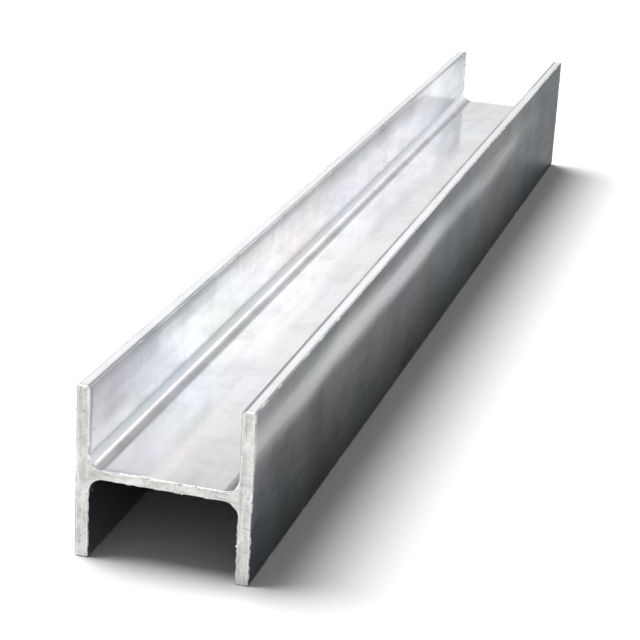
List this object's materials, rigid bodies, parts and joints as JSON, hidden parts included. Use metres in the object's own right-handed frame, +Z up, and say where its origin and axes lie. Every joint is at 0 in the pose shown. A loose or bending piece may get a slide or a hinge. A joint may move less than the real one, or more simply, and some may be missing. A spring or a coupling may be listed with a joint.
{
  "type": "steel h-beam",
  "caption": "Cut length of hot-dip galvanised wide-flange H-section: two parallel flanges joined by a web with rolled root fillets, saw-cut square at both ends.",
  "frame": {"origin": "middle of the footprint, on the plane of the lower flange toes", "axes": "+Y along the beam's length, +X across its depth from flange to flange, +Z up; the web lies level and the flanges stand upright"},
  "size_m": [0.1, 0.95, 0.1],
  "materials": {
    "galvanised_steel": "hot-dip galvanised zinc, satin, with brighter toes and matt grey cut ends"
  },
  "bodies": {
    "root": {"h_beam": "galvanised_steel"}
  },
  "joints": []
}
